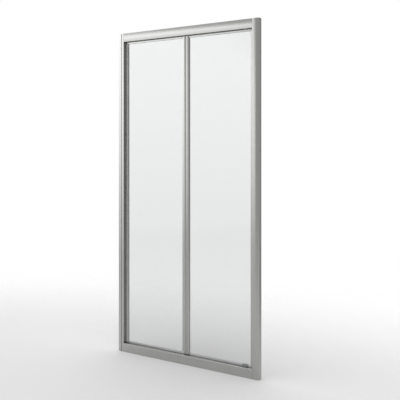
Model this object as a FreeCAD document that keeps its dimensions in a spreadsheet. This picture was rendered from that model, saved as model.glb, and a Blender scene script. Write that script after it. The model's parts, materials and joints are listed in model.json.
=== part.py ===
import FreeCAD, Part
import math
import os
from types import SimpleNamespace

import Sketcher

# A two-leaf folding shower door for a niche.
# X runs along the door, +Y points into the shower, Z is up, and the origin is under the middle of the sill.

# Driving sizes, in millimetres
SIZES = {
    # Whole frame
    "door_width": 900,
    "door_height": 1850,
    "frame_front": 19,
    "frame_back": 19,
    # Wall profile, a U channel whose front turns back to the wall
    "wall_profile_width": 22,
    "wall_profile_depth": 31,
    "wall_profile_wall": 1.8,
    "wall_front_lip": 2,
    "wall_front_turn": 6,
    "wall_front_bulge": 0.8,
    "wall_hole_radius": 3,
    "wall_fixing_setback": 12,
    "outer_fixing_spacing": 1500,
    "inner_fixing_spacing": 500,
    # Jamb post, which slides in the wall profile
    "slide_clearance": 0.3,
    "post_reveal": 17,
    "post_lap": 1.5,
    "post_tongue": 10,
    "tongue_setback": 6.5,
    "post_wall": 1.5,
    "post_round": 0.8,
    "post_bow": 0.4,
    "post_back_inset": 1,
    "post_leg_gap": 1,
    "stop_flange_reach": 10,
    "stop_flange_wall": 1.5,
    # Caps on the jambs
    "cap_thickness": 3,
    "cap_plug_length": 7,
    "cap_plug_inset": 8,
    "plug_clearance": 0.3,
    # Head rail and sill rail
    "head_rail_height": 48,
    "sill_height": 50,
    "rail_wall": 1.8,
    "rail_bow": 2,
    "rail_proud": 1,
    "sill_crease_height": 25,
    "sill_lean": 1.2,
    "sill_top_round": 2,
    "channel_width": 15,
    "channel_depth": 24,
    "port_block": 9,
    "port_setback": 5,
    # Screw joint of the posts and the rails
    "corner_screw_radius": 1.9,
    "screw_hole_clearance": 0.3,
    "access_window": 9,
    # Stiles of the leaves
    "hinge_stile_width": 22,
    "outer_stile_width": 14,
    "stile_crown": 2.5,
    "stile_front_lip": 1.7,
    "stile_back_lip": 1.7,
    "stile_wall": 1.5,
    "end_cap_thickness": 1.5,
    "end_plug_length": 8,
    # Room around the leaves
    "hinge_gap": 1,
    "leaf_side_clearance": 4,
    "leaf_head_clearance": 2,
    "leaf_sill_clearance": 3,
    "glass_sill_clearance": 6.5,
    # Glass and glazing
    "glass_thickness": 5,
    "gasket_thickness": 1.3,
    "glazing_depth": 6,
    # Top rail of a leaf, an H section
    "top_rail_height": 9.5,
    "top_rail_wall": 1.2,
    "carrier_depth": 4.5,
    "carrier_width": 8.6,
    "carrier_length": 40,
    "carrier_clearance": 0.1,
    # Wiper seal under the glass
    "seal_wall": 1.3,
    "seal_grip": 1.5,
    "seal_base": 1.5,
    "wiper_thickness": 2,
    "wiper_clearance": 0.5,
    # Hinge between the leaves
    "hinge_setback": 1.2,
    "knuckle_radius": 3.2,
    "knuckle_web_reach": 2.2,
    "cover_strip_start": 3.5,
    "cover_strip_end": 11,
    "knuckle_pairs": 4,
    "hinge_pin_radius": 1.6,
    "hinge_pin_inset": 1,
    "washer_radius": 3,
    "washer_thickness": 0.8,
    "washer_clearance": 0.3,
    "running_clearance": 0.05,
    # Pivots at the right
    "pivot_inset": 51,
    "pivot_pin_radius": 3,
    "pivot_pin_tip": 1,
    "bottom_pin_length": 20,
    "top_pin_engagement": 14,
    "bottom_shoe_length": 31,
    "bottom_shoe_depth": 13,
    "bottom_shoe_grip": 4.5,
    "bottom_shoe_round": 2,
    "bottom_shoe_bore": 4.2,
    "bush_barrel_radius": 7,
    "bush_barrel_length": 15,
    "bush_flange_radius": 9,
    "bush_flange": 1.2,
    "bush_gap": 0.3,
    "top_bush_length": 28,
    "top_bush_height": 18,
    "top_bush_clearance": 0.2,
    "collar_height": 2,
    "pivot_collar_radius": 5.5,
    # Guide roller at the left
    "roller_radius": 7,
    "roller_width": 10,
    "roller_lift": 4,
    "roller_chamfer": 1,
    "roller_end_play": 0.3,
    "guide_axle_radius": 2.5,
    "guide_collar_radius": 4,
    "guide_head": 1.7,
    # Magnets and side seal
    "magnet_width": 7,
    "strike_thickness": 2.5,
    "strike_width": 10,
    "door_magnet_depth": 2.2,
    "side_seal_base": 1.2,
    "side_seal_bulge": 1.6,
    "side_seal_width": 5,
}

doc = FreeCAD.newDocument("FoldingShowerDoor")
sheet = doc.addObject("Spreadsheet::Sheet", "Sizes")
for row, (alias, number) in enumerate(SIZES.items(), start=1):
    sheet.set(f"A{row}", alias)
    sheet.set(f"B{row}", str(number))
    sheet.setAlias(f"B{row}", alias)
doc.recompute()


class Size:
    """A length with its value and the sheet expression that gives it."""

    def __init__(self, value, text):
        self.value = float(value)
        self.text = text

    def __add__(self, other):
        other = as_size(other)
        return Size(self.value + other.value, f"({self.text} + {other.text})")

    def __sub__(self, other):
        other = as_size(other)
        return Size(self.value - other.value, f"({self.text} - {other.text})")

    def __mul__(self, other):
        other = as_size(other)
        return Size(self.value * other.value, f"({self.text} * {other.text})")

    def __truediv__(self, other):
        other = as_size(other)
        return Size(self.value / other.value, f"({self.text} / {other.text})")

    def __neg__(self):
        return Size(-self.value, f"(-{self.text})")

    def __radd__(self, other):
        return as_size(other) + self

    def __rsub__(self, other):
        return as_size(other) - self

    def __rmul__(self, other):
        return as_size(other) * self

    def root(self):
        return Size(math.sqrt(self.value), f"sqrt({self.text})")


def as_size(item):
    if isinstance(item, Size):
        return item
    return Size(item, f"({float(item)})")


d = SimpleNamespace(**{alias: Size(number, f"Sizes.{alias}") for alias, number in SIZES.items()})

# Places worked out from the driving sizes
half_width = d.door_width / 2
front = -d.frame_front
back = d.frame_back
profile_height = d.door_height - d.cap_thickness
profile_middle = profile_height / 2

lip_x = half_width - d.wall_profile_width
wall_back = front + d.wall_profile_depth
post_face = lip_x - d.post_reveal
post_front = front + d.wall_profile_wall + d.slide_clearance
post_neck = wall_back - d.wall_profile_wall - d.slide_clearance
post_back = back - d.post_back_inset
post_rear_x = lip_x - d.post_leg_gap
post_lap_x = lip_x + d.post_lap
tongue_end = lip_x + d.post_tongue
tongue_front = front + d.tongue_setback

rail_bottom = d.door_height - d.head_rail_height
channel_top = rail_bottom + d.channel_depth
track_y = back - d.rail_wall - d.channel_width / 2
channel_front = track_y - d.channel_width / 2
web_front = channel_front - d.rail_wall
rail_crest = post_front - d.rail_proud
rail_front = rail_crest + d.rail_bow

port_y = web_front - d.port_setback
port_drop = d.rail_wall + d.port_block / 2
port_heights = [
    port_drop,
    d.sill_height - port_drop,
    rail_bottom + port_drop,
    d.door_height - port_drop,
]

glass_front = track_y - d.glass_thickness / 2
glass_back = track_y + d.glass_thickness / 2
pocket_front = glass_front - d.gasket_thickness
pocket_back = glass_back + d.gasket_thickness
stile_edge = pocket_front - d.stile_front_lip
stile_crest = stile_edge - d.stile_crown
stile_back = pocket_back + d.stile_back_lip

leaf_bottom = d.sill_height + d.leaf_sill_clearance
leaf_top = rail_bottom - d.leaf_head_clearance
leaf_height = leaf_top - leaf_bottom
leaf_edge = post_face - d.leaf_side_clearance
hinge_edge = d.hinge_gap / 2
glass_bottom = d.sill_height + d.glass_sill_clearance
top_rail_bottom = leaf_top - d.top_rail_height
carrier_floor = leaf_top - d.carrier_depth
top_web_bottom = carrier_floor - d.top_rail_wall
glass_top = top_web_bottom - d.gasket_thickness

hinge_y = stile_crest - d.hinge_setback
knuckle_pitch = leaf_height / (d.knuckle_pairs * 2 + 1)
knuckle_foot = d.washer_thickness + d.washer_clearance
pin_bore = d.hinge_pin_radius + d.running_clearance
pivot_x = post_face - d.pivot_inset
pivot_bore = d.pivot_pin_radius + d.running_clearance
stop_front = post_back - d.stop_flange_wall

RIGHT = 1
LEFT = -1
parts = []


# Drawing helpers


def new_body(name):
    body = doc.addObject("PartDesign::Body", name)
    body.Label = name
    parts.append(body)
    return body


def sketch_on(body, plane, name, offset=None):
    """A sketch on one of the body's own planes, moved along the plane's normal by offset."""
    sketch = body.newObject("Sketcher::SketchObject", f"{body.Name}_{name}")
    roles = {feature.Role: feature for feature in body.Origin.OriginFeatures}
    sketch.AttachmentSupport = (roles[plane], [""])
    sketch.MapMode = "FlatFace"
    if offset is not None:
        sketch.setExpression(".AttachmentOffset.Base.z", offset.text)
    return sketch


def step_between(start, end):
    """The axis direction of a straight side."""
    run = as_size(end[0]).value - as_size(start[0]).value
    rise = as_size(end[1]).value - as_size(start[1]).value
    if abs(run) > abs(rise):
        return math.copysign(1, run), 0
    return 0, math.copysign(1, rise)


def arc_edge(start, end, radius, bulge):
    """The shorter arc between two points, on the side that bulge points to, and whether it runs left."""
    chord = end - start
    normal = FreeCAD.Vector(chord.y, -chord.x, 0).normalize()
    turns_left = normal.dot(FreeCAD.Vector(*bulge, 0)) > 0
    side = normal if turns_left else -normal
    sagitta = radius - math.sqrt(max(radius ** 2 - chord.Length ** 2 / 4, 0))
    middle = (start + end) / 2 + side * sagitta
    return Part.Arc(start, middle, end), turns_left


def outline(sketch, corners, bows=None):
    """Draws one closed wire and binds it to the sheet.

    A corner is (x, y), or (x, y, radius) where two square sides meet in an arc.
    bows maps a corner's index to (radius, bulge) and bends the side that leaves it.
    """
    bows = bows or {}
    knots = []
    for index, corner in enumerate(corners):
        x, y = as_size(corner[0]), as_size(corner[1])
        if len(corner) == 2:
            knots.append((x, y, bows.get(index)))
            continue
        radius = corner[2]
        enter = step_between(corners[index - 1], corner)
        leave = step_between(corner, corners[(index + 1) % len(corners)])
        bulge = (enter[0] - leave[0], enter[1] - leave[1])
        knots.append((x - enter[0] * radius, y - enter[1] * radius, (radius, bulge)))
        knots.append((x + leave[0] * radius, y + leave[1] * radius, bows.get(index)))

    first = sketch.GeometryCount
    edges, ends, rules, texts = [], [], [], []
    for (x, y, bend), (next_x, next_y, _) in zip(knots, knots[1:] + knots[:1]):
        start = FreeCAD.Vector(x.value, y.value, 0)
        end = FreeCAD.Vector(next_x.value, next_y.value, 0)
        turns_left = True
        edge = Part.LineSegment(start, end)
        if bend:
            edge, turns_left = arc_edge(start, end, bend[0].value, bend[1])
        edges.append(edge)
        ends.append((1, 2) if turns_left else (2, 1))
    sketch.addGeometry(edges, False)

    count = len(knots)
    for index, (x, y, bend) in enumerate(knots):
        edge = first + index
        after = (index + 1) % count
        rules.append(Sketcher.Constraint("Coincident", edge, ends[index][1], first + after, ends[after][0]))
        texts.append(None)
        for kind, size in (("DistanceX", x), ("DistanceY", y)):
            rules.append(Sketcher.Constraint(kind, -1, 1, edge, ends[index][0], size.value))
            texts.append(size.text)
        if bend:
            rules.append(Sketcher.Constraint("Radius", edge, bend[0].value))
            texts.append(bend[0].text)
    bind_rules(sketch, rules, texts)


def rectangle(sketch, x_low, x_high, y_low, y_high):
    outline(sketch, [(x_low, y_low), (x_high, y_low), (x_high, y_high), (x_low, y_high)])


def circle(sketch, x, y, radius):
    x, y = as_size(x), as_size(y)
    centre = FreeCAD.Vector(x.value, y.value, 0)
    index = sketch.addGeometry(Part.Circle(centre, FreeCAD.Vector(0, 0, 1), radius.value), False)
    rules = [
        Sketcher.Constraint("DistanceX", -1, 1, index, 3, x.value),
        Sketcher.Constraint("DistanceY", -1, 1, index, 3, y.value),
        Sketcher.Constraint("Radius", index, radius.value),
    ]
    bind_rules(sketch, rules, [x.text, y.text, radius.text])


def bind_rules(sketch, rules, texts):
    first = sketch.ConstraintCount
    sketch.addConstraint(rules)
    for index, text in enumerate(texts, start=first):
        if text:
            sketch.setExpression(f"Constraints[{index}]", text)


def extrude(kind, sketch, length, side_type="One side", backwards=False):
    body = sketch.getParentGeoFeatureGroup()
    feature = body.newObject(f"PartDesign::{kind}", f"{sketch.Name}_{kind.lower()}")
    feature.Profile = sketch
    feature.setExpression("Length", length.text)
    feature.SideType = side_type
    feature.Reversed = backwards
    return feature


def pad(sketch, length, backwards=False):
    return extrude("Pad", sketch, length, backwards=backwards)


def pad_both(sketch, length):
    return extrude("Pad", sketch, length, "Symmetric")


def cut_both(sketch, length):
    return extrude("Pocket", sketch, length, "Symmetric")


def repeat_up(features, sketch, spacing, count):
    """Repeats features along the height axis of a plan sketch's body."""
    body = sketch.getParentGeoFeatureGroup()
    roles = {feature.Role: feature for feature in body.Origin.OriginFeatures}
    pattern = body.newObject("PartDesign::LinearPattern", f"{sketch.Name}_pattern")
    pattern.Originals = features
    pattern.Direction = (roles["Z_Axis"], [""])
    pattern.setExpression("Length", (spacing * (count - 1)).text)
    pattern.setExpression("Occurrences", count.text)
    body.Tip = pattern
    return pattern


def turned(name, x, y, profile):
    """A piece turned about an upright axis at (x, y); its profile is a list of (radius, height)."""
    body = new_body(name)
    body.setExpression(".Placement.Base.x", as_size(x).text)
    body.setExpression(".Placement.Base.y", as_size(y).text)
    sketch = sketch_on(body, "XZ_Plane", "profile")
    outline(sketch, profile)
    turn = body.newObject("PartDesign::Revolution", f"{name}_turn")
    turn.Profile = sketch
    turn.ReferenceAxis = (sketch, ["V_Axis"])
    turn.Angle = 360
    return body


def upright_bar(name, x_low, x_high, y_low, y_high, z_low, z_high):
    bar = doc.addObject("Part::Box", name)
    bar.Label = name
    bar.setExpression("Length", (x_high - x_low).text)
    bar.setExpression("Width", (y_high - y_low).text)
    bar.setExpression("Height", (z_high - z_low).text)
    for axis, place in zip("xyz", (x_low, y_low, z_low)):
        bar.setExpression(f".Placement.Base.{axis}", place.text)
    parts.append(bar)
    return bar


def bow_radius(chord, rise):
    return (chord * chord / 4 + rise * rise) / (rise * 2)


# Frame


# The curve of a wall profile's front, between its lip and the wall
WALL_FRONT_RUN = d.wall_profile_width - d.wall_front_lip
WALL_FRONT_CHORD = (WALL_FRONT_RUN * WALL_FRONT_RUN + d.wall_front_turn * d.wall_front_turn).root()
WALL_FRONT_RADIUS = bow_radius(WALL_FRONT_CHORD, d.wall_front_bulge)


def wall_profile(name, side):
    body = new_body(name)
    wall = d.wall_profile_wall
    wall_x = side * half_width
    web_x = side * (half_width - wall)
    bend_x = side * (lip_x + d.wall_front_lip)
    turn_y = front + d.wall_front_turn
    section = sketch_on(body, "XY_Plane", "section")
    outline(section, [
        (side * lip_x, front),
        (bend_x, front),
        (wall_x, turn_y),
        (wall_x, wall_back),
        (side * lip_x, wall_back),
        (side * lip_x, wall_back - wall),
        (web_x, wall_back - wall),
        (web_x, turn_y + wall / 2),
        (bend_x, front + wall),
        (side * lip_x, front + wall),
    ], {1: (WALL_FRONT_RADIUS, (side, -1)), 7: (WALL_FRONT_RADIUS - wall, (side, -1))})
    pad(section, profile_height)

    fixing_y = wall_back - d.wall_fixing_setback
    fixings = sketch_on(body, "YZ_Plane", "fixings", side * (half_width - wall / 2))
    for spacing in (d.outer_fixing_spacing, d.inner_fixing_spacing):
        circle(fixings, fixing_y, profile_middle - spacing / 2, d.wall_hole_radius)
        circle(fixings, fixing_y, profile_middle + spacing / 2, d.wall_hole_radius)
    cut_both(fixings, wall * 2)


# The bowed side that leaves the first corner of a post's outline
POST_FRONT_BOW = {0: (bow_radius(d.post_reveal - d.post_round, d.post_bow), (0, -1))}


def jamb_post(name, side):
    body = new_body(name)
    wall = d.post_wall
    section = sketch_on(body, "XY_Plane", "section")
    outline(section, [
        (side * post_face, post_front, d.post_round),
        (side * lip_x, post_front),
        (side * post_lap_x, post_front),
        (side * post_lap_x, tongue_front),
        (side * tongue_end, tongue_front),
        (side * tongue_end, post_neck),
        (side * post_rear_x, post_neck),
        (side * post_rear_x, post_back),
        (side * post_face, post_back),
    ], POST_FRONT_BOW)
    inner_x = side * (post_face + wall)
    outline(section, [
        (inner_x, post_front + wall),
        (side * (post_lap_x - wall), post_front + wall),
        (side * (post_lap_x - wall), tongue_front + wall),
        (side * (tongue_end - wall), tongue_front + wall),
        (side * (tongue_end - wall), post_neck - wall),
        (inner_x, post_neck - wall),
    ])
    rectangle(section, inner_x, side * (post_rear_x - wall), post_neck, post_back - wall)
    pad(section, profile_height)

    stop = sketch_on(body, "XY_Plane", "stop", leaf_bottom)
    rectangle(stop, inner_x, side * (post_face - d.stop_flange_reach), stop_front, post_back)
    pad(stop, leaf_height)

    screw_holes = sketch_on(body, "YZ_Plane", "screw_holes", side * (post_face + wall / 2))
    windows = sketch_on(body, "YZ_Plane", "windows", side * (tongue_end - wall / 2))
    half_window = d.access_window / 2
    for height in port_heights:
        circle(screw_holes, port_y, height, d.corner_screw_radius + d.screw_hole_clearance)
        if height is not port_heights[-1]:
            rectangle(windows, port_y - half_window, port_y + half_window,
                      height - half_window, height + half_window)
    cut_both(screw_holes, wall * 2)
    cut_both(windows, wall * 2)


def post_cap(name, side):
    """A cap over the wall profile and the post, with a plug in the post's front chamber."""
    body = new_body(name)
    plate = sketch_on(body, "XY_Plane", "plate", profile_height)
    outline(plate, [
        (side * post_face, post_front, d.post_round),
        (side * lip_x, post_front),
        (side * lip_x, front),
        (side * (lip_x + d.wall_front_lip), front),
        (side * half_width, front + d.wall_front_turn),
        (side * half_width, wall_back),
        (side * post_rear_x, wall_back),
        (side * post_rear_x, post_back),
        (side * post_face, post_back),
    ], {**POST_FRONT_BOW, 3: (WALL_FRONT_RADIUS, (side, -1))})
    pad(plate, d.cap_thickness)
    room = d.post_wall + d.plug_clearance
    plug = sketch_on(body, "XY_Plane", "plug", profile_height)
    rectangle(plug, side * (post_face + d.cap_plug_inset), side * (post_lap_x - room),
              post_front + room, post_neck - room)
    pad(plug, d.cap_plug_length, backwards=True)


def rail_front_chamber(section, low, high, front_low, front_high, bows=None):
    """The hollow behind a rail's front, with a solid block left for a screw port at each rear corner."""
    block_front = port_y - d.port_block / 2
    outline(section, [
        (front_high, high),
        (front_low, low),
        (block_front, low),
        (block_front, low + d.port_block),
        (web_front, low + d.port_block),
        (web_front, high - d.port_block),
        (block_front, high - d.port_block),
        (block_front, high),
    ], bows)


def screw_ports(section, heights):
    for height in heights:
        circle(section, port_y, height, d.corner_screw_radius + d.running_clearance)


def head_rail():
    body = new_body("head_rail")
    wall = d.rail_wall
    top = d.door_height
    section = sketch_on(body, "YZ_Plane", "section")
    bow = bow_radius(d.head_rail_height, d.rail_bow)
    outline(section, [
        (rail_front, top),
        (rail_front, rail_bottom),
        (channel_front, rail_bottom),
        (channel_front, channel_top),
        (back - wall, channel_top),
        (back - wall, rail_bottom),
        (back, rail_bottom),
        (back, top),
    ], {0: (bow, (-1, 0))})
    inner_bow = bow_radius(d.head_rail_height - wall * 2, d.rail_bow)
    chamber_front = rail_front + wall
    rail_front_chamber(section, rail_bottom + wall, top - wall, chamber_front, chamber_front,
                       {0: (inner_bow, (-1, 0))})
    rectangle(section, channel_front, back - wall, channel_top + wall, top - wall)
    screw_ports(section, port_heights[2:])
    pad_both(section, post_face * 2)


def sill_rail():
    """The sill: a lower front that leans in up to a crease, an upright upper front, and a flat deck."""
    body = new_body("sill_rail")
    wall = d.rail_wall
    top = d.sill_height
    lean_y = rail_crest + d.sill_lean
    section = sketch_on(body, "YZ_Plane", "section")
    outline(section, [
        (rail_crest, 0),
        (back, 0),
        (back, top),
        (lean_y + d.sill_top_round, top),
        (lean_y, top - d.sill_top_round),
        (lean_y, d.sill_crease_height),
    ], {3: (d.sill_top_round, (-1, 1))})
    rail_front_chamber(section, wall, top - wall, lean_y + wall, lean_y + wall + d.sill_top_round)
    rectangle(section, channel_front, back - wall, wall, top - wall)
    screw_ports(section, port_heights[:2])
    pad_both(section, post_face * 2)

    bush_hole = sketch_on(body, "XY_Plane", "bush_hole", top - wall / 2)
    circle(bush_hole, pivot_x, track_y, d.bush_barrel_radius + d.running_clearance)
    cut_both(bush_hole, wall * 2)


def strike_magnet():
    upright_bar("strike_magnet", -post_face, -post_face + d.strike_thickness,
                track_y - d.strike_width / 2, track_y + d.strike_width / 2, leaf_bottom, leaf_top)


def pivot_side_seal():
    body = new_body("pivot_side_seal")
    base_x = post_face - d.side_seal_base
    section = sketch_on(body, "XY_Plane", "section", leaf_bottom)
    outline(section, [
        (post_face, stile_crest),
        (post_face, stile_crest + d.side_seal_width),
        (base_x, stile_crest + d.side_seal_width),
        (base_x, stile_crest),
    ], {2: (bow_radius(d.side_seal_width, d.side_seal_bulge), (-1, 0))})
    pad(section, leaf_height)


# Pivots


def bottom_pivot_bush():
    turned("bottom_pivot_bush", pivot_x, track_y, [
        (pivot_bore, d.sill_height - d.bush_barrel_length),
        (d.bush_barrel_radius, d.sill_height - d.bush_barrel_length),
        (d.bush_barrel_radius, d.sill_height),
        (d.bush_flange_radius, d.sill_height),
        (d.bush_flange_radius, d.sill_height + d.bush_flange),
        (pivot_bore, d.sill_height + d.bush_flange),
    ])


def top_pivot_bush():
    body = new_body("top_pivot_bush")
    half_length = d.top_bush_length / 2
    half_depth = d.channel_width / 2 - d.top_bush_clearance
    plan = sketch_on(body, "XY_Plane", "plan", channel_top)
    rectangle(plan, pivot_x - half_length, pivot_x + half_length, track_y - half_depth, track_y + half_depth)
    circle(plan, pivot_x, track_y, pivot_bore)
    pad(plan, d.top_bush_height, backwards=True)


shoe_bottom = d.sill_height + d.bush_flange + d.bush_gap


def bottom_pivot_shoe():
    """A block that grips the glass's lower edge over the bottom pivot."""
    body = new_body("bottom_pivot_shoe")
    half_depth = d.bottom_shoe_depth / 2
    half_slot = d.glass_thickness / 2 + d.slide_clearance
    top = glass_bottom + d.bottom_shoe_grip
    section = sketch_on(body, "YZ_Plane", "section", pivot_x)
    outline(section, [
        (track_y - half_depth, shoe_bottom),
        (track_y + half_depth, shoe_bottom),
        (track_y + half_depth, top, d.bottom_shoe_round),
        (track_y + half_slot, top),
        (track_y + half_slot, glass_bottom),
        (track_y - half_slot, glass_bottom),
        (track_y - half_slot, top),
        (track_y - half_depth, top, d.bottom_shoe_round),
    ])
    pad_both(section, d.bottom_shoe_length)
    bore = sketch_on(body, "XY_Plane", "bore", shoe_bottom)
    circle(bore, pivot_x, track_y, pivot_bore)
    cut_both(bore, d.bottom_shoe_bore * 2)


def bottom_pivot_pin():
    high = shoe_bottom + d.bottom_shoe_bore
    low = high - d.bottom_pin_length
    radius = d.pivot_pin_radius
    turned("bottom_pivot_pin", pivot_x, track_y, [
        (0, low),
        (radius - d.pivot_pin_tip, low),
        (radius, low + d.pivot_pin_tip),
        (radius, high),
        (0, high),
    ])


def carrier(name, x, bore):
    """A block in the upper groove of a leaf's top rail, which holds a pin or an axle."""
    body = new_body(name)
    half_length = d.carrier_length / 2
    half_depth = d.carrier_width / 2 - d.carrier_clearance
    plan = sketch_on(body, "XY_Plane", "plan", carrier_floor)
    rectangle(plan, x - half_length, x + half_length, track_y - half_depth, track_y + half_depth)
    circle(plan, x, track_y, bore)
    pad(plan, d.carrier_depth)


def top_pivot_pin():
    radius = d.pivot_pin_radius
    high = channel_top - d.top_bush_height + d.top_pin_engagement
    turned("top_pivot_pin", pivot_x, track_y, [
        (0, carrier_floor),
        (radius, carrier_floor),
        (radius, leaf_top),
        (d.pivot_collar_radius, leaf_top),
        (d.pivot_collar_radius, leaf_top + d.collar_height),
        (radius, leaf_top + d.collar_height),
        (radius, high - d.pivot_pin_tip),
        (radius - d.pivot_pin_tip, high),
        (0, high),
    ])


# Guide at the leading edge


roller_low = rail_bottom + d.roller_lift
roller_high = roller_low + d.roller_width


def guide_axle():
    radius = d.guide_axle_radius
    turned("guide_axle", -pivot_x, track_y, [
        (0, carrier_floor),
        (radius, carrier_floor),
        (radius, leaf_top),
        (d.guide_collar_radius, leaf_top),
        (d.guide_collar_radius, roller_low - d.roller_end_play),
        (radius, roller_low - d.roller_end_play),
        (radius, roller_high + d.roller_end_play),
        (d.guide_collar_radius, roller_high + d.roller_end_play),
        (d.guide_collar_radius, roller_high + d.roller_end_play + d.guide_head),
        (0, roller_high + d.roller_end_play + d.guide_head),
    ])


def guide_roller():
    bore = d.guide_axle_radius + d.running_clearance
    turned("guide_roller", -pivot_x, track_y, [
        (bore, roller_low),
        (d.roller_radius - d.roller_chamfer, roller_low),
        (d.roller_radius, roller_low + d.roller_chamfer),
        (d.roller_radius, roller_high - d.roller_chamfer),
        (d.roller_radius - d.roller_chamfer, roller_high),
        (bore, roller_high),
    ])


# Leaves


class Stile:
    """An upright with a crowned front, seen in plan from its free edge towards the glass."""

    def __init__(self, edge, direction, width, groove=None):
        self.edge = as_size(edge)
        self.direction = direction
        self.width = width
        self.groove = groove
        self.radius = bow_radius(width, d.stile_crown)
        free_wall = d.stile_wall if groove is None else groove + d.stile_wall
        self.chamber = (free_wall, width - d.glazing_depth - d.stile_wall)

    def x(self, reach):
        return self.edge + as_size(reach) * self.direction

    def crown(self, reach, depth):
        """The depth line under the crowned front, at a reach from the free edge."""
        radius = self.radius - depth
        off_centre = reach - self.width / 2
        return stile_crest + self.radius - (radius * radius - off_centre * off_centre).root()

    def front_bow(self):
        return self.radius, (0, -1)

    def draw_section(self, sketch):
        pocket = self.width - d.glazing_depth
        corners = [
            (self.x(0), stile_edge),
            (self.x(self.width), stile_edge),
            (self.x(self.width), pocket_front),
            (self.x(pocket), pocket_front),
            (self.x(pocket), pocket_back),
            (self.x(self.width), pocket_back),
            (self.x(self.width), stile_back),
            (self.x(0), stile_back),
        ]
        if self.groove is not None:
            half = d.magnet_width / 2
            corners += [
                (self.x(0), track_y + half),
                (self.x(self.groove), track_y + half),
                (self.x(self.groove), track_y - half),
                (self.x(0), track_y - half),
            ]
        outline(sketch, corners, {0: self.front_bow()})
        self.draw_chamber(sketch, as_size(0))

    def draw_chamber(self, sketch, clearance):
        """The hollow of the stile, or a plug in it where there is a clearance."""
        near = self.chamber[0] + clearance
        far = self.chamber[1] - clearance
        depth = d.stile_wall + clearance
        outline(sketch, [
            (self.x(near), self.crown(near, depth)),
            (self.x(far), self.crown(far, depth)),
            (self.x(far), stile_back - depth),
            (self.x(near), stile_back - depth),
        ], {0: (self.radius - depth, (0, -1))})

    def draw_cap(self, sketch):
        outline(sketch, [
            (self.x(0), stile_edge),
            (self.x(self.width), stile_edge),
            (self.x(self.width), stile_back),
            (self.x(0), stile_back),
        ], {0: self.front_bow()})

    def draw_gasket(self, sketch):
        """A channel of soft glazing round the glass's edge."""
        pocket = self.width - d.glazing_depth
        outline(sketch, [
            (self.x(pocket), pocket_front),
            (self.x(self.width), pocket_front),
            (self.x(self.width), glass_front),
            (self.x(pocket + d.gasket_thickness), glass_front),
            (self.x(pocket + d.gasket_thickness), glass_back),
            (self.x(self.width), glass_back),
            (self.x(self.width), pocket_back),
            (self.x(pocket), pocket_back),
        ])

    def glass_edge(self):
        return self.x(self.width - d.glazing_depth + d.gasket_thickness)


pivot_edge_stile = Stile(leaf_edge, LEFT, d.outer_stile_width)
pivot_hinge_side = Stile(hinge_edge, RIGHT, d.hinge_stile_width)
leading_hinge_side = Stile(-hinge_edge, LEFT, d.hinge_stile_width)
leading_edge_stile = Stile(-leaf_edge, RIGHT, d.outer_stile_width, d.door_magnet_depth)


def plain_stile(name, stile):
    section = sketch_on(new_body(name), "XY_Plane", "section", leaf_bottom)
    stile.draw_section(section)
    pad(section, leaf_height)


def hinge_stile(name, stile, first_knuckle, knuckle_length, knuckle_count):
    """A stile with a row of hinge knuckles, each carried by a web in front of the stile."""
    body = new_body(name)
    section = sketch_on(body, "XY_Plane", "section", leaf_bottom)
    stile.draw_section(section)
    pad(section, leaf_height)

    web = sketch_on(body, "XY_Plane", "web", first_knuckle)
    reach = d.knuckle_web_reach
    outline(web, [
        (stile.x(0), hinge_y),
        (stile.x(reach), hinge_y),
        (stile.x(reach), stile.crown(reach, d.stile_wall / 2)),
        (stile.x(0), stile_edge + d.stile_wall / 2),
    ])
    web_pad = pad(web, knuckle_length)
    barrel = sketch_on(body, "XY_Plane", "barrel", first_knuckle)
    circle(barrel, 0, hinge_y, d.knuckle_radius)
    barrel_pad = pad(barrel, knuckle_length)
    repeat_up([web_pad, barrel_pad], barrel, knuckle_pitch * 2, knuckle_count)

    bore = sketch_on(body, "XY_Plane", "bore", leaf_bottom + leaf_height / 2)
    circle(bore, 0, hinge_y, pin_bore)
    body.Tip = cut_both(bore, leaf_height * 2)
    return body


def cover_strip(body, stile):
    """A flat strip up the whole stile beside the knuckles, level with the hinge pin's axis."""
    strip = sketch_on(body, "XY_Plane", "strip", leaf_bottom)
    near = d.cover_strip_start
    far = d.cover_strip_end
    root = d.stile_wall / 2
    outline(strip, [
        (stile.x(near), hinge_y),
        (stile.x(far), hinge_y),
        (stile.x(far), stile.crown(far, root)),
        (stile.x(near), stile.crown(near, root)),
    ])
    body.Tip = pad(strip, leaf_height)


def hinge_pin():
    inset = d.hinge_pin_inset
    low = leaf_bottom + inset
    high = leaf_top - inset
    turned("hinge_pin", 0, hinge_y, [
        (0, low),
        (d.hinge_pin_radius, low),
        (d.hinge_pin_radius, high),
        (0, high),
    ])


def hinge_washers():
    """A bearing washer under each knuckle of the leading leaf."""
    ring = sketch_on(new_body("hinge_washers"), "XY_Plane", "ring", leaf_bottom + knuckle_pitch)
    circle(ring, 0, hinge_y, d.washer_radius)
    circle(ring, 0, hinge_y, pin_bore)
    repeat_up([pad(ring, d.washer_thickness)], ring, knuckle_pitch * 2, d.knuckle_pairs)


def glass(name, edges):
    low, high = sorted((stile.glass_edge() for stile in edges), key=lambda place: place.value)
    upright_bar(name, low, high, glass_front, glass_back, glass_bottom, glass_top)


def inner_faces(edges):
    """Where the stiles of a leaf face each other across the glass."""
    return sorted((stile.x(stile.width) for stile in edges), key=lambda place: place.value)


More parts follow.
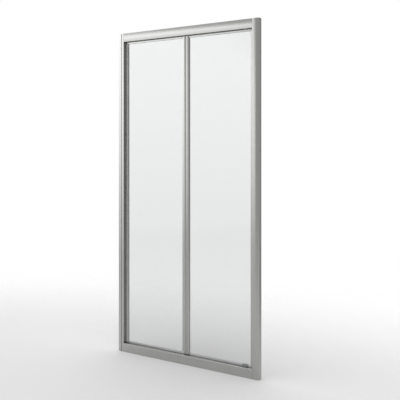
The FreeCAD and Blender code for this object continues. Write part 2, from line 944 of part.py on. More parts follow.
def gaskets(name, edges):
    """Glazing channels on the glass's two upright edges and its top edge."""
    body = new_body(name)
    uprights = sketch_on(body, "XY_Plane", "uprights", glass_bottom)
    for stile in edges:
        stile.draw_gasket(uprights)
    pad(uprights, glass_top - glass_bottom)
    low, high = inner_faces(edges)
    top = sketch_on(body, "YZ_Plane", "top", low)
    outline(top, [
        (pocket_front, top_rail_bottom),
        (glass_front, top_rail_bottom),
        (glass_front, glass_top),
        (glass_back, glass_top),
        (glass_back, top_rail_bottom),
        (pocket_back, top_rail_bottom),
        (pocket_back, top_web_bottom),
        (pocket_front, top_web_bottom),
    ])
    pad(top, high - low)


def top_rail(name, edges):
    """An H section: the lower groove holds the glass, the upper groove holds the carrier."""
    low, high = inner_faces(edges)
    groove_front = track_y - d.carrier_width / 2
    groove_back = track_y + d.carrier_width / 2
    face_front = groove_front - d.top_rail_wall
    face_back = groove_back + d.top_rail_wall
    section = sketch_on(new_body(name), "YZ_Plane", "section", low)
    outline(section, [
        (face_front, top_rail_bottom),
        (pocket_front, top_rail_bottom),
        (pocket_front, top_web_bottom),
        (pocket_back, top_web_bottom),
        (pocket_back, top_rail_bottom),
        (face_back, top_rail_bottom),
        (face_back, leaf_top),
        (groove_back, leaf_top),
        (groove_back, carrier_floor),
        (groove_front, carrier_floor),
        (groove_front, leaf_top),
        (face_front, leaf_top),
    ])
    pad(section, high - low)


def bottom_seal(name, runs):
    """A clip on the glass's lower edge with a wiper that sweeps the sill; runs are (low, high) along X."""
    body = new_body(name)
    base = glass_bottom - d.seal_base
    grip = glass_bottom + d.seal_grip
    half_wiper = d.wiper_thickness / 2
    tip = d.sill_height + d.wiper_clearance
    for index, (low, high) in enumerate(runs, start=1):
        section = sketch_on(body, "YZ_Plane", f"run{index}", low)
        outline(section, [
            (glass_front - d.seal_wall, base),
            (track_y - half_wiper, base),
            (track_y - half_wiper, tip),
            (track_y + half_wiper, tip),
            (track_y + half_wiper, base),
            (glass_back + d.seal_wall, base),
            (glass_back + d.seal_wall, grip),
            (glass_back, grip),
            (glass_back, glass_bottom),
            (glass_front, glass_bottom),
            (glass_front, grip),
            (glass_front - d.seal_wall, grip),
        ])
        pad(section, high - low)


def stile_caps(name, edges):
    """A cap on each end of a leaf's two stiles, with a plug in the stile's hollow."""
    body = new_body(name)
    for word, height, outwards in (("top", leaf_top, False), ("bottom", leaf_bottom, True)):
        plates = sketch_on(body, "XY_Plane", f"{word}_plates", height)
        plugs = sketch_on(body, "XY_Plane", f"{word}_plugs", height)
        for stile in edges:
            stile.draw_cap(plates)
            stile.draw_chamber(plugs, d.plug_clearance)
        pad(plates, d.end_cap_thickness, backwards=outwards)
        pad(plugs, d.end_plug_length, backwards=not outwards)


def door_magnet():
    half = d.magnet_width / 2
    upright_bar("door_magnet", -leaf_edge, -leaf_edge + d.door_magnet_depth,
                track_y - half, track_y + half, leaf_bottom, leaf_top)


def build_frame():
    for word, side in (("left", LEFT), ("right", RIGHT)):
        wall_profile(f"wall_profile_{word}", side)
        jamb_post(f"jamb_post_{word}", side)
        post_cap(f"post_cap_{word}", side)
    head_rail()
    sill_rail()
    strike_magnet()
    pivot_side_seal()
    bottom_pivot_bush()
    top_pivot_bush()


def build_pivot_leaf():
    edges = (pivot_hinge_side, pivot_edge_stile)
    low, high = inner_faces(edges)
    half_shoe = d.bottom_shoe_length / 2
    plain_stile("pivot_stile", pivot_edge_stile)
    hinged = hinge_stile("pivot_hinge_stile", pivot_hinge_side, leaf_bottom, knuckle_pitch,
                         d.knuckle_pairs + 1)
    cover_strip(hinged, pivot_hinge_side)
    glass("pivot_glass", edges)
    gaskets("pivot_gaskets", edges)
    top_rail("pivot_top_rail", edges)
    bottom_seal("pivot_bottom_seal", [(low, pivot_x - half_shoe), (pivot_x + half_shoe, high)])
    stile_caps("pivot_stile_caps", edges)
    bottom_pivot_shoe()
    bottom_pivot_pin()
    carrier("top_pivot_shoe", pivot_x, pivot_bore)
    top_pivot_pin()
    hinge_pin()
    hinge_washers()


def build_leading_leaf():
    edges = (leading_hinge_side, leading_edge_stile)
    plain_stile("leading_stile", leading_edge_stile)
    hinge_stile("leading_hinge_stile", leading_hinge_side, leaf_bottom + knuckle_pitch + knuckle_foot,
                knuckle_pitch - knuckle_foot - d.washer_clearance, d.knuckle_pairs)
    glass("leading_glass", edges)
    gaskets("leading_gaskets", edges)
    top_rail("leading_top_rail", edges)
    bottom_seal("leading_bottom_seal", [inner_faces(edges)])
    stile_caps("leading_stile_caps", edges)
    door_magnet()
    carrier("guide_shoe", -pivot_x, d.guide_axle_radius + d.running_clearance)
    guide_axle()
    guide_roller()


def check_and_write():
    doc.recompute()
    failed = [item.Name for item in doc.Objects if {"Invalid", "Error"} & set(item.State)]
    if failed:
        raise RuntimeError(f"these objects failed: {failed}")
    for piece in parts:
        if piece.Shape.isNull() or not piece.Shape.isValid():
            raise RuntimeError(f"{piece.Label} has no valid shape")
    os.makedirs("parts", exist_ok=True)
    for piece in parts:
        piece.Shape.exportStep(f"parts/{piece.Label}.step")
        print(piece.Label, len(piece.Shape.Solids), round(piece.Shape.Volume))


build_frame()
build_pivot_leaf()
build_leading_leaf()
check_and_write()
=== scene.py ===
import json
import math

import bpy
from bpy.props import FloatProperty, FloatVectorProperty, IntProperty, PointerProperty
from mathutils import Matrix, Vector


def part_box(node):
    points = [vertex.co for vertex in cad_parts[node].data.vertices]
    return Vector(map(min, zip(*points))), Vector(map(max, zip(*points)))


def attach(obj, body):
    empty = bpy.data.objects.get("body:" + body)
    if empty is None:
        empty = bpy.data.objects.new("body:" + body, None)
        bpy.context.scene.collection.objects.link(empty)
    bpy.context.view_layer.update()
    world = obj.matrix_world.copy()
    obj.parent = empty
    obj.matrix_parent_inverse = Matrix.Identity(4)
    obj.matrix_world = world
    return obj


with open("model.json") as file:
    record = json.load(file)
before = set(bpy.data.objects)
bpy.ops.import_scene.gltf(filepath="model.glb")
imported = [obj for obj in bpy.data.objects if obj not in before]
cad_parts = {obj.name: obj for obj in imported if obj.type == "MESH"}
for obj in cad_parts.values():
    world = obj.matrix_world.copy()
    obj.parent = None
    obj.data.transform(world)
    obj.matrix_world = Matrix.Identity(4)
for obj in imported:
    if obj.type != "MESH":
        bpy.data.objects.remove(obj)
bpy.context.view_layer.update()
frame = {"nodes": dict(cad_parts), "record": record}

bl_info = {
    "name": "Folding Shower Door Looks",
    "version": (1, 0, 0),
    "blender": (4, 5, 0),
    "location": "View3D > Sidebar > Shower Door",
    "description": "Finishes, glazing lips, adjusting screws and studio of a folding shower door",
    "category": "Object",
}

SIDES = ("left", "right")
LEAVES = ("pivot", "leading")
LEVEL_PROFILES = ("head_rail", "sill_rail", "pivot_top_rail", "leading_top_rail")

# Noise scales along X, Y and Z, in features per metre
UPRIGHT_DIE_LINES = (620.0, 620.0, 3.0)
LEVEL_DIE_LINES = (3.0, 620.0, 620.0)
ALUMINIUM_CLOUDS = (9.0, 9.0, 9.0)
GLASS_FILM = (22.0, 22.0, 11.0)
PLASTIC_PORES = (700.0, 700.0, 700.0)
PLASTIC_CLOUDS = (30.0, 30.0, 12.0)
TURNING_RINGS = (60.0, 60.0, 2600.0)
STEEL_CLOUDS = (120.0, 120.0, 120.0)
FLOOR_GRAIN = (40.0, 40.0, 40.0)
FLOOR_SPECKS = (2000.0, 2000.0, 2000.0)

# The two ends of each finish's tone, as shares of its colour
ALUMINIUM_TONES = (0.94, 1.05)
GLASS_TONES = (1.0, 0.985)
PLASTIC_TONES = (0.88, 1.12)
STEEL_TONES = (0.92, 1.06)
FLOOR_TONES = (0.99, 1.01)

# How much of the aluminium's tone follows each noise
CLOUD_TONE_SHARE = 0.6
DIE_LINE_TONE_SHARE = 0.4

# Middle roughness of the finishes that have no setting for it
SEAL_ROUGHNESS = 0.55
PLASTIC_ROUGHNESS = 0.45
MAGNET_ROUGHNESS = 0.5
STEEL_ROUGHNESS = 0.30

# Width of the roughness that each noise gives
DIE_LINE_SWING = 0.10
CLOUD_SWING = 0.06
FILM_SWING = 0.02
PORE_SWING = 0.14
RING_SWING = 0.16

# Depth in metres, and strength, of the bumps
PORE_DEPTH = 0.00005
RING_DEPTH = 0.00003
DIE_LINE_STRENGTH = 0.35
PORE_STRENGTH = 0.4
RING_STRENGTH = 0.4

# Glass: its index of refraction, the film's share in its tint, and where the film thins out
GLASS_INDEX = 1.46
FILM_TINT_SHARE = 0.5
FILM_HEIGHTS = (0.05, 0.55)

# Screw head: corners, steps, top as a share of the radius, recess as shares of the height
HEAD_CORNERS = 32
HEAD_STEPS = 3
HEAD_TOP_SHARE = 0.72
CUTTER_DEPTH_SHARE = 1.2
CUTTER_PLACE_SHARE = 1.1

# Glazing lip: the corners of its section, and the steps and radius of its bends, in lip radii
LIP_CORNERS = 10
LIP_BEND_STEPS = 4
LIP_BEND_SHARE = 2

# Sides of the studio's light, seen from the door
BRIGHT_SIDE = Vector((-0.906, -0.423, 0.0))
BRIGHT_EDGE = Vector((-0.549, 0.105, -0.829))
UP_SIDE = Vector((0.0, 0.0, 1.0))
FRONT_SIDE = Vector((0.0, -1.0, 0.0))
BACKDROP_SIDE = Vector((-0.50, 0.866, 0.0)).normalized()

# Where the light of each side begins and where it is full, as cosines of the angle to that side
BRIGHT_SPAN = (0.50, 0.76)
BRIGHT_EDGE_SPAN = (-0.08, 0.04)
UP_SPAN = (-0.30, 0.22)
FRONT_SPAN = (-0.2, 0.6)
BACKDROP_SPAN = (0.58, 0.90)

# Floor, lamp and camera, in metres apart from the sensor's millimetres
FLOOR_REACH = 12.0
FLOOR_MIDDLE = Vector((0.0, -2.4, 0.0))
FLOOR_FADE = (2.5, 4.2)
FLOOR_SPECK_REACH = 2.4
OVERHEAD_PLACE = (-0.3, 0.2, 3.8)
OVERHEAD_SIZE = 5.0
SENSOR_WIDTH = 36.0

# Geometry socket types, and the places of a Mix node's colour sockets, whose names repeat
COUNT = "NodeSocketInt"
LENGTH = "NodeSocketFloat"
MIX_COLOUR_LOW = 6
MIX_COLOUR_HIGH = 7
MIX_COLOUR_RESULT = 2


# Settings


def colour_property(name, description, default):
    return FloatVectorProperty(
        name=name, description=description, default=default, subtype="COLOR", min=0.0, max=1.0
    )


def length_property(name, description, default):
    return FloatProperty(
        name=name, description=description, default=default, unit="LENGTH", min=0.0
    )


def share_property(name, description, default):
    return FloatProperty(
        name=name, description=description, default=default, subtype="FACTOR", min=0.0, max=1.0
    )


def brightness_property(name, description, default):
    return FloatProperty(name=name, description=description, default=default, min=0.0)


def group_property(name, description, group):
    return PointerProperty(name=name, description=description, type=group)


class FinishSettings(bpy.types.PropertyGroup):
    """Colours and gloss of the door's materials."""

    aluminium: colour_property("Aluminium", "Colour of the satin profiles", (0.45, 0.452, 0.441))
    aluminium_roughness: share_property("Satin", "Roughness of the anodised profiles", 0.25)
    die_line_depth: length_property("Die lines", "Depth of the lines along the profiles", 0.00004)
    glass: colour_property("Glass", "Tint of the panes", (0.79, 0.80, 0.796))
    seal: colour_property("Seals", "Colour of the wipers and glazing", (0.62, 0.62, 0.625))
    plastic: colour_property("Plastic", "Colour of caps, shoes and bushes", (0.28, 0.28, 0.285))
    magnet: colour_property("Magnets", "Colour of the magnet strips", (0.72, 0.72, 0.725))
    steel: colour_property("Steel", "Colour of the pins and screws", (0.62, 0.62, 0.63))


class ScrewSettings(bpy.types.PropertyGroup):
    """Pan-head screws that lock the posts in the wall profiles."""

    rows: IntProperty(name="Rows", description="Screws in each wall profile", default=3, min=1)
    spacing: length_property("Spacing", "Distance between the screws", 0.7)
    head_radius: length_property("Head radius", "Radius of the pan head", 0.0036)
    head_height: length_property("Head height", "Height of the pan head", 0.0022)
    recess_length: length_property("Recess length", "Length of the cross recess", 0.0042)
    recess_width: length_property("Recess width", "Width of the cross recess", 0.0009)


class LipSettings(bpy.types.PropertyGroup):
    """Soft lips of the glazing that stand on the glass."""

    radius: length_property("Lip radius", "Radius of the lip", 0.0007)


class StageSettings(bpy.types.PropertyGroup):
    """Camera, floor and studio light."""

    camera_place: FloatVectorProperty(
        name="Camera",
        description="Place of the camera",
        default=(1.716, -2.7885, 1.186),
        subtype="TRANSLATION",
    )
    camera_turn: FloatProperty(
        name="Turn",
        description="Turn of the camera about Z",
        default=math.radians(30.21),
        subtype="ANGLE",
    )
    lens: FloatProperty(
        name="Lens", description="Focal length of the camera", default=53.62, unit="CAMERA"
    )
    shift: FloatProperty(name="Shift", description="Upright shift of the lens", default=-0.1306)
    floor: colour_property("Floor", "Colour of the floor", (0.82, 0.82, 0.82))
    dome_low: brightness_property("Dome shade", "Brightness of the dome's dark side", 0.40)
    dome_front: brightness_property("Dome front", "Brightness of the dome's front", 0.54)
    dome_high: brightness_property("Dome light", "Brightness of the dome's bright side", 2.30)
    overhead_power: FloatProperty(
        name="Overhead", description="Power of the overhead lamp", default=95.0, unit="POWER"
    )


class DoorSettings(bpy.types.PropertyGroup):
    """All settings of the shower door."""

    finish: group_property("Finishes", "Colours and gloss of the materials", FinishSettings)
    screws: group_property("Screws", "Sizes of the adjusting screws", ScrewSettings)
    lips: group_property("Lips", "Sizes of the glazing lips", LipSettings)
    stage: group_property("Stage", "Camera, floor and studio light", StageSettings)


def settings_of(context):
    return context.scene.shower_door


# Node helpers


class Value:
    """An output socket in a node tree; arithmetic on a number adds Math nodes."""

    def __init__(self, nodes, socket):
        self.nodes = nodes
        self.socket = socket

    def maths(self, operation, *operands):
        inputs = dict(enumerate(operands))
        return self.nodes.make("ShaderNodeMath", {"operation": operation}, inputs)

    def __add__(self, other):
        return self.maths("ADD", self, other)

    def __radd__(self, other):
        return self.maths("ADD", other, self)

    def __sub__(self, other):
        return self.maths("SUBTRACT", self, other)

    def __rsub__(self, other):
        return self.maths("SUBTRACT", other, self)

    def __mul__(self, other):
        return self.maths("MULTIPLY", self, other)

    def __rmul__(self, other):
        return self.maths("MULTIPLY", other, self)


class Nodes:
    """Makes the nodes of one tree."""

    def __init__(self, tree):
        self.tree = tree
        tree.nodes.clear()

    def make(self, kind, settings=None, inputs=None, output=0):
        """Adds a node, sets it up, fills its sockets with values or links, and gives one output."""
        node = self.tree.nodes.new(kind)
        for name, setting in (settings or {}).items():
            setattr(node, name, setting)
        for name, item in (inputs or {}).items():
            self.fill(node.inputs[name], item)
        return Value(self, node.outputs[output] if node.outputs else None)

    def fill(self, socket, item):
        """Links a Value or a list of Values to a socket, or sets the socket's own value."""
        if isinstance(item, list):
            for link in item:
                self.fill(socket, link)
        elif isinstance(item, Value):
            self.tree.links.new(item.socket, socket)
        else:
            socket.default_value = item

    def smooth_step(self, value, span, start=0.0, end=1.0):
        """A number that goes softly from start to end while a value crosses a span."""
        low, high = span
        return self.make("ShaderNodeMapRange", {"interpolation_type": "SMOOTHSTEP"}, {
            "Value": value,
            "From Min": low,
            "From Max": high,
            "To Min": start,
            "To Max": end,
        })


class Finish(Nodes):
    """A surface material on object coordinates."""

    def __init__(self, name):
        self.material = bpy.data.materials.new(name)
        self.material.use_nodes = True
        super().__init__(self.material.node_tree)
        self.place = self.make("ShaderNodeTexCoord", output="Object")

    def noise(self, scale, detail=2.0, roughness=0.5):
        """Noise with a scale for each axis."""
        mapped = self.make("ShaderNodeMapping", inputs={"Vector": self.place, "Scale": scale})
        return self.make("ShaderNodeTexNoise", inputs={
            "Vector": mapped,
            "Scale": 1.0,
            "Detail": detail,
            "Roughness": roughness,
        })

    def tones(self, factor, colour, ends):
        """A colour that moves between two shares of itself."""
        low, high = [(*(channel * share for channel in colour), 1.0) for share in ends]
        inputs = {"Factor": factor, MIX_COLOUR_LOW: low, MIX_COLOUR_HIGH: high}
        return self.make("ShaderNodeMix", {"data_type": "RGBA"}, inputs, MIX_COLOUR_RESULT)

    def height(self):
        return self.make("ShaderNodeSeparateXYZ", inputs={"Vector": self.place}, output="Z")

    def bump(self, height, distance, strength):
        return self.make("ShaderNodeBump", inputs={
            "Height": height,
            "Distance": distance,
            "Strength": strength,
        })

    def principled(self, inputs):
        return self.make("ShaderNodeBsdfPrincipled", inputs=inputs)

    def close(self, shader):
        """Puts a shader on the surface and gives the material."""
        self.make("ShaderNodeOutputMaterial", inputs={"Surface": shader})
        return self.material


# Finishes


def satin_aluminium(name, settings, line_scale):
    """Anodised aluminium with fine die lines along the profile."""
    finish = Finish(name)
    lines = finish.noise(line_scale, detail=3.0, roughness=0.6)
    clouds = finish.noise(ALUMINIUM_CLOUDS, detail=4.0)
    tone = clouds * CLOUD_TONE_SHARE + lines * DIE_LINE_TONE_SHARE
    smoothest = settings.aluminium_roughness - (DIE_LINE_SWING + CLOUD_SWING) / 2
    return finish.close(finish.principled({
        "Base Color": finish.tones(tone, settings.aluminium, ALUMINIUM_TONES),
        "Metallic": 1.0,
        "Roughness": lines * DIE_LINE_SWING + clouds * CLOUD_SWING + smoothest,
        "Normal": finish.bump(lines, settings.die_line_depth, DIE_LINE_STRENGTH),
    }))


def clear_glass(settings):
    """Clear toughened glass with a faint film near the foot of the pane."""
    finish = Finish("clear_glass")
    film = finish.noise(GLASS_FILM, detail=5.0, roughness=0.65)
    foot = finish.smooth_step(finish.height(), FILM_HEIGHTS, 1.0, 0.0)
    return finish.close(finish.principled({
        "Base Color": finish.tones(film * FILM_TINT_SHARE, settings.glass, GLASS_TONES),
        "Roughness": film * foot * FILM_SWING,
        "IOR": GLASS_INDEX,
        "Transmission Weight": 1.0,
    }))


def moulded(name, colour, roughness):
    """A moulded or extruded plastic with a fine grain."""
    finish = Finish(name)
    pores = finish.noise(PLASTIC_PORES, detail=3.0)
    clouds = finish.noise(PLASTIC_CLOUDS, detail=3.0)
    return finish.close(finish.principled({
        "Base Color": finish.tones(clouds, colour, PLASTIC_TONES),
        "Roughness": pores * PORE_SWING + (roughness - PORE_SWING / 2),
        "Normal": finish.bump(pores, PORE_DEPTH, PORE_STRENGTH),
    }))


def turned_steel(settings):
    """Steel with rings left by turning."""
    finish = Finish("turned_steel")
    rings = finish.noise(TURNING_RINGS)
    clouds = finish.noise(STEEL_CLOUDS)
    return finish.close(finish.principled({
        "Base Color": finish.tones(clouds, settings.steel, STEEL_TONES),
        "Metallic": 1.0,
        "Roughness": rings * RING_SWING + (STEEL_ROUGHNESS - RING_SWING / 2),
        "Normal": finish.bump(rings, RING_DEPTH, RING_STRENGTH),
    }))


def nodes_in(slot):
    """The CAD nodes that the record gives this material slot."""
    return [item["node"] for item in frame["record"]["subparts"] if item["material_slot"] == slot]


def dress(names, material):
    for name in names:
        materials = frame["nodes"][name].data.materials
        materials.clear()
        materials.append(material)


class DoorOperator:
    """What the door's operators share."""

    bl_options = {"REGISTER", "UNDO"}


class SHOWERDOOR_OT_profiles(DoorOperator, bpy.types.Operator):
    """Finish the aluminium profiles, with die lines along each one"""

    bl_idname = "shower_door.profiles"
    bl_label = "Aluminium Profiles"

    def execute(self, context):
        finish = settings_of(context).finish
        upright = satin_aluminium("satin_aluminium_upright", finish, UPRIGHT_DIE_LINES)
        level = satin_aluminium("satin_aluminium_level", finish, LEVEL_DIE_LINES)
        dress(nodes_in("satin_aluminium"), upright)
        dress(LEVEL_PROFILES, level)
        return {"FINISHED"}


class SHOWERDOOR_OT_panes(DoorOperator, bpy.types.Operator):
    """Finish the two glass panes"""

    bl_idname = "shower_door.panes"
    bl_label = "Glass Panes"

    def execute(self, context):
        dress(nodes_in("clear_glass"), clear_glass(settings_of(context).finish))
        return {"FINISHED"}


class SHOWERDOOR_OT_fittings(DoorOperator, bpy.types.Operator):
    """Finish the seals, magnets, plastic fittings and steel pins"""

    bl_idname = "shower_door.fittings"
    bl_label = "Seals and Fittings"

    def execute(self, context):
        finish = settings_of(context).finish
        seal = moulded("soft_seal", finish.seal, SEAL_ROUGHNESS)
        plastic = moulded("fitting_plastic", finish.plastic, PLASTIC_ROUGHNESS)
        magnet = moulded("magnet_strip", finish.magnet, MAGNET_ROUGHNESS)
        dress(nodes_in("grey_seal"), seal)
        dress(nodes_in("grey_plastic"), plastic)
        dress(nodes_in("magnet_strip"), magnet)
        dress(nodes_in("steel"), turned_steel(finish))
        return {"FINISHED"}


# Geometry trees


class Shape(Nodes):
    """A geometry tree with named inputs for its sizes."""

    def __init__(self, name, sizes):
        tree = bpy.data.node_groups.new(name, "GeometryNodeTree")
        super().__init__(tree)
        tree.interface.new_socket("Geometry", in_out="INPUT", socket_type="NodeSocketGeometry")
        for label, kind in sizes.items():
            tree.interface.new_socket(label, in_out="INPUT", socket_type=kind)
        tree.interface.new_socket("Geometry", in_out="OUTPUT", socket_type="NodeSocketGeometry")
        entry = self.make("NodeGroupInput").socket.node
        self.entry = {socket.name: Value(self, socket) for socket in entry.outputs if socket.name}

    def vector(self, x=0.0, y=0.0, z=0.0):
        return self.make("ShaderNodeCombineXYZ", inputs={"X": x, "Y": y, "Z": z})

    def close(self, geometry, material):
        """Ends the tree with plain geometry in one material."""
        plain = self.make("GeometryNodeRealizeInstances", inputs={"Geometry": geometry})
        painted = self.make("GeometryNodeSetMaterial", inputs={
            "Geometry": plain,
            "Material": material,
        })
        self.make("NodeGroupOutput", inputs={"Geometry": painted})


def plain_mesh(name, points, edges=(), faces=()):
    mesh = bpy.data.meshes.new(name)
    mesh.from_pydata(points, edges, faces)
    return mesh


def placed(name, data):
    """A new object in the scene."""
    item = bpy.data.objects.new(name, data)
    bpy.context.scene.collection.objects.link(item)
    return item


def grown(name, base, shape, sizes, body):
    """Runs a geometry tree on a base mesh and keeps the result as a mesh that rides on a body."""
    seed = placed(name, base)
    modifier = seed.modifiers.new(name, "NODES")
    modifier.node_group = shape.tree
    for item in shape.tree.interface.items_tree:
        if item.in_out == "INPUT" and item.name in sizes:
            modifier[item.identifier] = sizes[item.name]
    evaluated = seed.evaluated_get(bpy.context.evaluated_depsgraph_get())
    mesh = bpy.data.meshes.new_from_object(evaluated)
    seed.modifiers.remove(modifier)
    mesh.name = name
    seed.data = mesh
    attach(seed, body)
    return seed


def screw_shape(material):
    """Pan-head screws with a cross recess, in an upright row about each point."""
    shape = Shape("adjusting_screw_rows", {
        "Rows": COUNT,
        "Spacing": LENGTH,
        "Head Radius": LENGTH,
        "Head Height": LENGTH,
        "Recess Length": LENGTH,
        "Recess Width": LENGTH,
    })
    sizes = shape.entry
    height = sizes["Head Height"]
    head = shape.make("GeometryNodeMeshCone", {"fill_type": "NGON"}, {
        "Vertices": HEAD_CORNERS,
        "Side Segments": HEAD_STEPS,
        "Radius Top": sizes["Head Radius"] * HEAD_TOP_SHARE,
        "Radius Bottom": sizes["Head Radius"],
        "Depth": height,
    })
    cutters = []
    for across, along in (("Recess Length", "Recess Width"), ("Recess Width", "Recess Length")):
        size = shape.vector(sizes[across], sizes[along], height * CUTTER_DEPTH_SHARE)
        cutters.append(shape.make("GeometryNodeTransform", inputs={
            "Geometry": shape.make("GeometryNodeMeshCube", inputs={"Size": size}),
            "Translation": shape.vector(z=height * CUTTER_PLACE_SHARE),
        }))
    recessed = shape.make(
        "GeometryNodeMeshBoolean",
        {"operation": "DIFFERENCE", "solver": "EXACT"},
        {"Mesh 1": head, "Mesh 2": cutters},
    )
    screw = shape.make("GeometryNodeTransform", inputs={
        "Geometry": recessed,
        "Rotation": (-math.pi / 2, 0.0, 0.0),
    })
    row = shape.make("GeometryNodeMeshLine", inputs={
        "Count": sizes["Rows"],
        "Start Location": shape.vector(z=(sizes["Rows"] - 1) * sizes["Spacing"] * -0.5),
        "Offset": shape.vector(z=sizes["Spacing"]),
    })
    rows = shape.make("GeometryNodeInstanceOnPoints", inputs={
        "Points": sizes["Geometry"],
        "Instance": row,
    })
    points = shape.make("GeometryNodeRealizeInstances", inputs={"Geometry": rows})
    screws = shape.make("GeometryNodeInstanceOnPoints", inputs={
        "Points": points,
        "Instance": screw,
    })
    shape.close(screws, material)
    return shape


class SHOWERDOOR_OT_adjusting_screws(DoorOperator, bpy.types.Operator):
    """Seat the adjusting screws on the back legs of the wall profiles"""

    bl_idname = "shower_door.adjusting_screws"
    bl_label = "Adjusting Screws"

    def execute(self, context):
        settings = settings_of(context).screws
        points = []
        for side in SIDES:
            low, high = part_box(f"wall_profile_{side}")
            middle = (low + high) / 2
            points.append((middle.x, high.y, middle.z))
        base = plain_mesh("adjusting_screws", points)
        shape = screw_shape(bpy.data.materials["turned_steel"])
        sizes = {
            "Rows": settings.rows,
            "Spacing": settings.spacing,
            "Head Radius": settings.head_radius,
            "Head Height": settings.head_height,
            "Recess Length": settings.recess_length,
            "Recess Width": settings.recess_width,
        }
        screws = grown("adjusting_screws", base, shape, sizes, "frame")
        return {"FINISHED"}


def lip_shape(material):
    """A round lip along a path, with its corners bent."""
    shape = Shape("glazing_lip", {"Lip Radius": LENGTH})
    radius = shape.entry["Lip Radius"]
    corners = shape.make("GeometryNodeMeshToCurve", inputs={"Mesh": shape.entry["Geometry"]})
    path = shape.make("GeometryNodeFilletCurve", {"mode": "POLY"}, {
        "Curve": corners,
        "Radius": radius * LIP_BEND_SHARE,
        "Count": LIP_BEND_STEPS,
    })
    section = shape.make("GeometryNodeCurvePrimitiveCircle", inputs={
        "Resolution": LIP_CORNERS,
        "Radius": radius,
    })
    lip = shape.make("GeometryNodeCurveToMesh", inputs={
        "Curve": path,
        "Profile Curve": section,
        "Fill Caps": True,
    })
    shape.close(lip, material)
    return shape


def lip_paths(name, leaf):
    """A path on each face of a pane: up one stile, along the top rail and down the other stile."""
    rail_low, rail_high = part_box(f"{leaf}_top_rail")
    gasket_low, gasket_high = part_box(f"{leaf}_gaskets")
    glass_low, glass_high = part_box(f"{leaf}_glass")
    seal_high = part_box(f"{leaf}_bottom_seal")[1]
    points, edges = [], []
    for y in ((gasket_low.y + glass_low.y) / 2, (gasket_high.y + glass_high.y) / 2):
        first = len(points)
        points += [
            (rail_low.x, y, seal_high.z),
            (rail_low.x, y, rail_low.z),
            (rail_high.x, y, rail_low.z),
            (rail_high.x, y, seal_high.z),
        ]
        edges += [(first + step, first + step + 1) for step in range(3)]
    return plain_mesh(name, points, edges)


class SHOWERDOOR_OT_glazing_lips(DoorOperator, bpy.types.Operator):
    """Run soft lips round the glass, where the glazing stands out of the stiles and top rails"""

    bl_idname = "shower_door.glazing_lips"
    bl_label = "Glazing Lips"

    def execute(self, context):
        shape = lip_shape(bpy.data.materials["soft_seal"])
        sizes = {"Lip Radius": settings_of(context).lips.radius}
        for leaf in LEAVES:
            name = f"{leaf}_glazing_lips"
            lips = grown(name, lip_paths(name, leaf), shape, sizes, f"{leaf}_leaf")
        return {"FINISHED"}


# Stage


def floor_finish(settings):
    """A pale matt finish that fades out into the backdrop, through specks too fine to see."""
    finish = Finish("studio_floor")
    grain = finish.noise(FLOOR_GRAIN)
    matt = finish.principled({
        "Base Color": finish.tones(grain, settings.floor, FLOOR_TONES),
        "Roughness": 1.0,
        "Specular IOR Level": 0.0,
    })
    inputs = {0: finish.place, 1: FLOOR_MIDDLE}
    away = finish.make("ShaderNodeVectorMath", {"operation": "DISTANCE"}, inputs, "Value")
    specks = finish.noise(FLOOR_SPECKS, detail=0.0)
    ragged = away + specks * FLOOR_SPECK_REACH - FLOOR_SPECK_REACH / 2
    return finish.close(finish.make("ShaderNodeMixShader", inputs={
        0: finish.smooth_step(ragged, FLOOR_FADE),
        1: matt,
        2: finish.make("ShaderNodeBsdfTransparent"),
    }))


def studio_floor(settings):
    reach = FLOOR_REACH
    corners = [
        (-reach, -reach, 0.0),
        (reach, -reach, 0.0),
        (reach, reach, 0.0),
        (-reach, reach, 0.0),
    ]
    mesh = plain_mesh("floor", corners, faces=[(0, 1, 2, 3)])
    mesh.materials.append(floor_finish(settings))
    floor = placed("floor", mesh)


def studio_world(settings):
    """A white backdrop behind the door, and a dome with its bright side at the left front."""
    world = bpy.data.worlds.new("studio")
    world.use_nodes = True
    nodes = Nodes(world.node_tree)
    direction = nodes.make("ShaderNodeTexCoord", output="Generated")

    def towards(side, span, start=0.0, end=1.0):
        """A number that changes as a direction nears a side."""
        inputs = {0: direction, 1: side}
        cosine = nodes.make("ShaderNodeVectorMath", {"operation": "DOT_PRODUCT"}, inputs, "Value")
        return nodes.smooth_step(cosine, span, start, end)

    across = towards(BRIGHT_SIDE, BRIGHT_SPAN)
    above = towards(UP_SIDE, UP_SPAN)
    within = towards(BRIGHT_EDGE, BRIGHT_EDGE_SPAN)
    dim = towards(FRONT_SIDE, FRONT_SPAN, settings.dome_low, settings.dome_front)
    dome = across * above * within * (settings.dome_high - settings.dome_front) + dim
    backdrop = towards(BACKDROP_SIDE, BACKDROP_SPAN)
    light = nodes.make("ShaderNodeBackground", inputs={
        "Color": (1.0, 1.0, 1.0, 1.0),
        "Strength": dome + (1.0 - dome) * backdrop,
    })
    nodes.make("ShaderNodeOutputWorld", inputs={"Surface": light})
    return world


def overhead_lamp(settings):
    """A soft lamp over the door that faces straight down."""
    light = bpy.data.lights.new("overhead", "AREA")
    light.shape = "SQUARE"
    light.size = OVERHEAD_SIZE
    light.energy = settings.overhead_power
    placed("overhead", light).location = OVERHEAD_PLACE


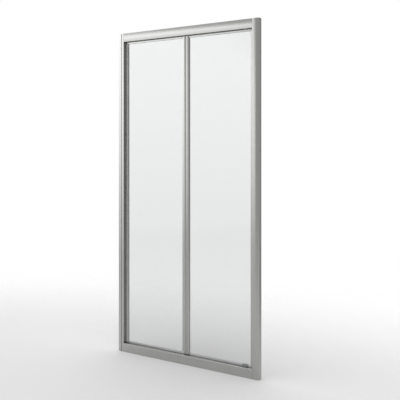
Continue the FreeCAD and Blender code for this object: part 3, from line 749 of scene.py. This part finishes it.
def studio_camera(settings):
    lens = bpy.data.cameras.new("camera")
    lens.lens = settings.lens
    lens.sensor_width = SENSOR_WIDTH
    lens.shift_y = settings.shift
    camera = placed("camera", lens)
    camera.location = settings.camera_place
    camera.rotation_euler = (math.pi / 2, 0.0, settings.camera_turn)
    return camera


class SHOWERDOOR_OT_stage(DoorOperator, bpy.types.Operator):
    """Set up the floor, the soft light and the camera"""

    bl_idname = "shower_door.stage"
    bl_label = "Studio Stage"

    def execute(self, context):
        scene = context.scene
        settings = settings_of(context).stage
        scene.view_settings.view_transform = "Standard"
        scene.world = studio_world(settings)
        studio_floor(settings)
        overhead_lamp(settings)
        scene.camera = studio_camera(settings)
        return {"FINISHED"}


class SHOWERDOOR_PT_panel(bpy.types.Panel):
    """Lists the door's operators and settings"""

    bl_idname = "SHOWERDOOR_PT_panel"
    bl_label = "Shower Door"
    bl_space_type = "VIEW_3D"
    bl_region_type = "UI"
    bl_category = "Shower Door"

    def draw(self, context):
        layout = self.layout
        settings = settings_of(context)
        for operator in OPERATORS:
            layout.operator(operator.bl_idname)
        for group in (settings.finish, settings.screws, settings.lips, settings.stage):
            box = layout.box()
            for name in group.__annotations__:
                box.prop(group, name)


OPERATORS = (
    SHOWERDOOR_OT_profiles,
    SHOWERDOOR_OT_panes,
    SHOWERDOOR_OT_fittings,
    SHOWERDOOR_OT_adjusting_screws,
    SHOWERDOOR_OT_glazing_lips,
    SHOWERDOOR_OT_stage,
)
CLASSES = (
    FinishSettings,
    ScrewSettings,
    LipSettings,
    StageSettings,
    DoorSettings,
    *OPERATORS,
    SHOWERDOOR_PT_panel,
)


def register():
    for item in CLASSES:
        bpy.utils.register_class(item)
    bpy.types.Scene.shower_door = group_property(
        "Shower Door", "Settings of the shower door", DoorSettings
    )


def unregister():
    del bpy.types.Scene.shower_door
    for item in reversed(CLASSES):
        bpy.utils.unregister_class(item)


def main():
    register()
    bpy.ops.shower_door.profiles()
    bpy.ops.shower_door.panes()
    bpy.ops.shower_door.fittings()
    bpy.ops.shower_door.adjusting_screws()
    bpy.ops.shower_door.glazing_lips()
    bpy.ops.shower_door.stage()


if __name__ == "__main__":
    main()
